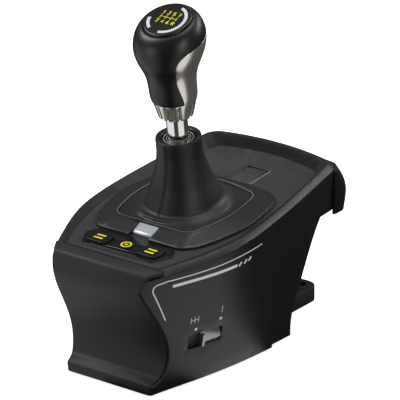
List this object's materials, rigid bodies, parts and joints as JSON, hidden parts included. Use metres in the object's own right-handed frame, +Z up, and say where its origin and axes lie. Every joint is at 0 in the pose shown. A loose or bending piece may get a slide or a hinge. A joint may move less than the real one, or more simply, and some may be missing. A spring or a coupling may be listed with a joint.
{
  "type": "sim racing gear shifter",
  "caption": "Desk-clamp gear shifter for driving games: tilting H-gate lever with boot and knob, push buttons and a mode slider.",
  "frame": {"origin": "centre of the bounding box at the bottom of the foot pads", "axes": "+Z up, +Y away from the driver, +X to the driver's right"},
  "size_m": [0.1438, 0.2358, 0.268],
  "materials": {
    "housing_black": "satin",
    "front_satin": "satin",
    "deck_textured": "fine texture",
    "bezel_satin": "satin",
    "gloss_black": "gloss",
    "boot_leather": "fine grain",
    "silver_plastic": "silver",
    "white_print": "print",
    "chrome": "polished",
    "brushed_ring": "brushed",
    "trim_champagne": "satin",
    "grip_black": "smooth",
    "steel": "machined",
    "inner_plastic": "moulded",
    "aluminium": "machined",
    "brass": "machined",
    "board_green": "lacquered",
    "rubber_black": "matt",
    "magnet": "plated"
  },
  "bodies": {
    "housing": {"base_nuts": "steel", "base_plate": "steel", "base_screws": "steel", "bezel": "bezel_satin", "boot_lower": "boot_leather", "button_board": "board_green", "button_panel": "gloss_black", "button_switches": "inner_plastic", "clamp_plate": "housing_black", "clamp_screws": "steel", "desk_pad": "rubber_black", "detent_block": "inner_plastic", "foot_pads": "rubber_black", "frame_cradle": "inner_plastic", "frame_screws": "steel", "front_panel": "front_satin", "gate_plate": "steel", "gimbal_frame": "aluminium", "hatch_pin": "steel", "hatch_well": "inner_plastic", "left_side_panel": "housing_black", "main_board": "board_green", "rear_panel": "housing_black", "rear_skirt": "housing_black", "right_side_panel": "housing_black", "sensor_board": "board_green", "status_lens": "gloss_black", "tension_screw": "brass", "top_cover": "deck_textured", "trunnion_bushes": "brass", "usb_socket": "steel"},
    "yoke_body": {"yoke": "aluminium", "trunnion_pins": "steel", "cross_pin": "steel", "select_magnet": "magnet"},
    "lever_body": {"lever_block": "aluminium", "lever_rod": "steel", "gate_finger": "steel", "shaft_sleeve": "chrome", "boot_collar": "gloss_black", "collar_insert": "chrome", "knob_ring": "brushed_ring", "knob_core": "aluminium", "knob_neck": "grip_black", "knob_grip": "grip_black", "knob_trim": "trim_champagne", "knob_cap": "gloss_black", "knob_arcs": "white_print", "shift_magnet": "magnet", "boot_upper": "boot_leather"},
    "left_button_body": {"left_button": "gloss_black"},
    "right_button_body": {"right_button": "gloss_black"},
    "mode_body": {"mode_slider": "silver_plastic", "mode_carriage": "inner_plastic"},
    "latch_body": {"bezel_latch": "silver_plastic"},
    "hatch_body": {"rear_hatch": "housing_black"}
  },
  "joints": [
    {"name": "select", "type": "hinge", "parent": "housing", "child": "yoke_body", "pos_m": [0, -0.0064, 0.08], "axis": [0, 0.9903, 0.1392], "range_deg": [-6.5, 13], "stiffness_Nm_per_rad": 2.5, "deforming": ["boot_lower"]},
    {"name": "shift", "type": "hinge", "parent": "yoke_body", "child": "lever_body", "pos_m": [0, -0.0064, 0.08], "axis": [1, 0, 0], "range_deg": [-10, 10], "deforming": ["boot_upper"]},
    {"name": "left_press", "type": "slide", "parent": "housing", "child": "left_button_body", "axis": [0, 0.0819, -0.9966], "range_m": [0, 0.0015], "stiffness_N_per_m": 400, "springref_m": -0.001},
    {"name": "right_press", "type": "slide", "parent": "housing", "child": "right_button_body", "axis": [0, 0.0819, -0.9966], "range_m": [0, 0.0015], "stiffness_N_per_m": 400, "springref_m": -0.001},
    {"name": "mode", "type": "slide", "parent": "housing", "child": "mode_body", "axis": [0.1904, 0.9817, 0], "range_m": [-0.008, 0]},
    {"name": "latch", "type": "slide", "parent": "housing", "child": "latch_body", "axis": [0, -0.9966, -0.0819], "range_m": [0, 0.0015], "stiffness_N_per_m": 300, "springref_m": -0.001},
    {"name": "hatch", "type": "hinge", "parent": "housing", "child": "hatch_body", "pos_m": [0.005, 0.07174, 0.11189], "axis": [-1, 0, 0], "range_deg": [0, 70]}
  ]
}
